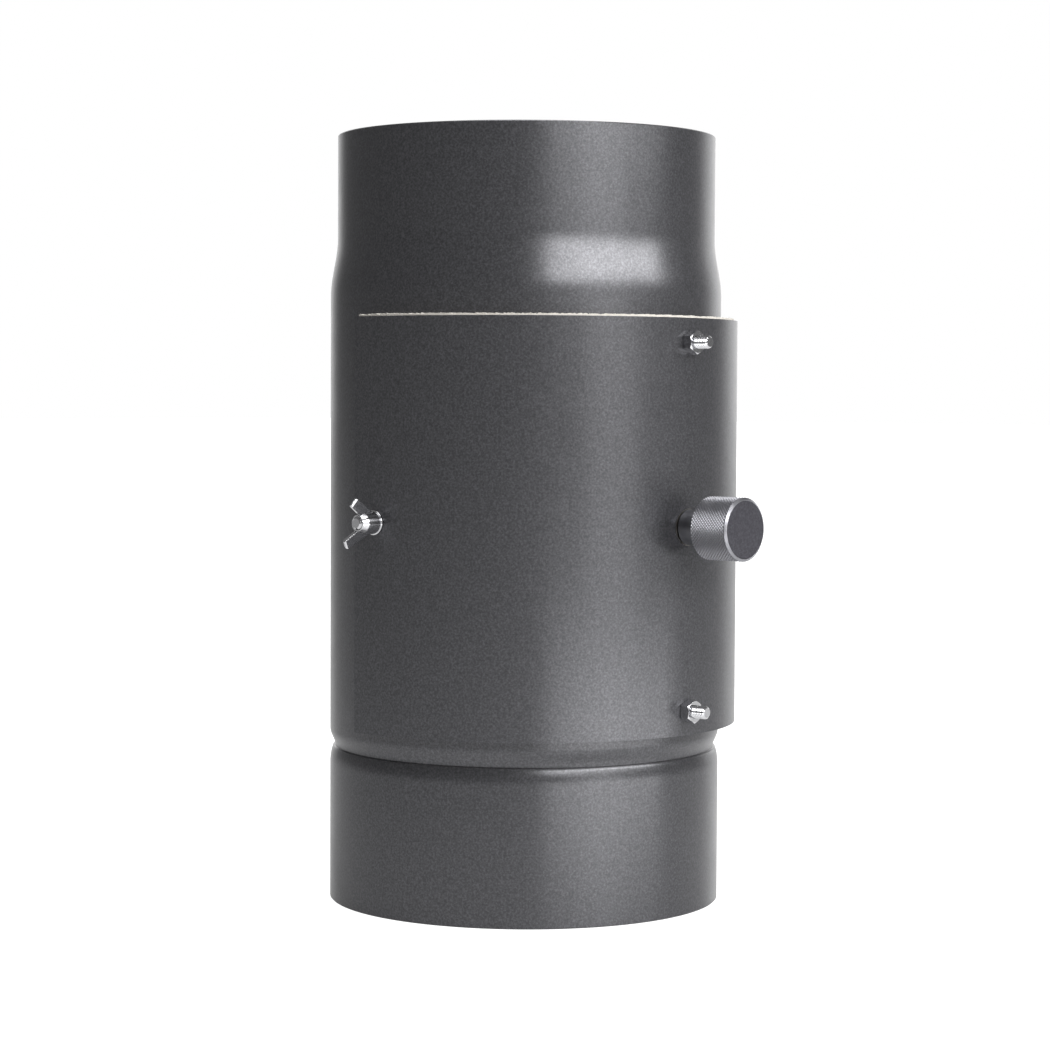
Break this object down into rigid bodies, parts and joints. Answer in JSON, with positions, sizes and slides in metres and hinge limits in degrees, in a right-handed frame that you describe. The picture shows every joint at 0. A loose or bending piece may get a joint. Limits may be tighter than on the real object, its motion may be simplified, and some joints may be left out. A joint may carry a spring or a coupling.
{
  "type": "stove pipe filter",
  "caption": "Straight stove pipe section with a turning smoke filter inside and a bolted, gasketed inspection cover with a knurled knob.",
  "frame": {"origin": "on the pipe's axis at the lower rim of its socket end", "axes": "+Z along the pipe towards the spigot, -Y out through the middle of the inspection cover and the knob"},
  "size_m": [0.196, 0.1878, 0.3],
  "materials": {
    "black_paint": "matt heat-resistant paint with a fine metallic grain",
    "gasket_fibre": "pressed white ceramic fibre",
    "zinc": "bright zinc plating",
    "stainless": "rolled stainless steel",
    "knob_steel": "turned and knurled steel",
    "knob_face": "matt dark disc",
    "filter_ceramic": "open-pored ceramic"
  },
  "bodies": {
    "body": {"pipe": "black_paint", "gasket": "gasket_fibre", "cover": "black_paint", "studs": "zinc", "hex_nuts": "zinc", "cover_bush": "stainless", "rear_bearing": "stainless", "friction_washer": "stainless"},
    "filter": {"spindle": "stainless", "stop_collar": "stainless", "collar_pin": "stainless", "hoop": "stainless", "grille_upper": "stainless", "grille_lower": "stainless", "filter_medium": "filter_ceramic", "knob": "knob_steel", "knob_screw": "zinc", "knob_cap": "knob_face"},
    "left_washer": {"wing_washer_left": "zinc"},
    "left_nut": {"wing_nut_left": "zinc"},
    "right_washer": {"wing_washer_right": "zinc"},
    "right_nut": {"wing_nut_right": "zinc"}
  },
  "joints": [
    {"name": "filter_turn", "type": "hinge", "parent": "body", "child": "filter", "pos_m": [0, 0, 0.14925], "axis": [0, -1, 0], "range_deg": [0, 90]},
    {"name": "left_nut_advance", "type": "slide", "parent": "body", "child": "left_washer", "axis": [-1, 0, 0], "range_m": [0, 0.0085]},
    {"name": "left_nut_turn", "type": "hinge", "parent": "left_washer", "child": "left_nut", "pos_m": [-0.0845, 0, 0.15065], "axis": [-1, 0, 0], "range_deg": [0, 3780]},
    {"name": "right_nut_advance", "type": "slide", "parent": "body", "child": "right_washer", "axis": [1, 0, 0], "range_m": [0, 0.0085]},
    {"name": "right_nut_turn", "type": "hinge", "parent": "right_washer", "child": "right_nut", "pos_m": [0.0845, 0, 0.15065], "axis": [1, 0, 0], "range_deg": [0, 3780]}
  ],
  "couplings": [
    {"joint": "left_nut_advance", "follows": "left_nut_turn", "m_per_rad": 0.00012732},
    {"joint": "right_nut_advance", "follows": "right_nut_turn", "m_per_rad": 0.00012732}
  ]
}
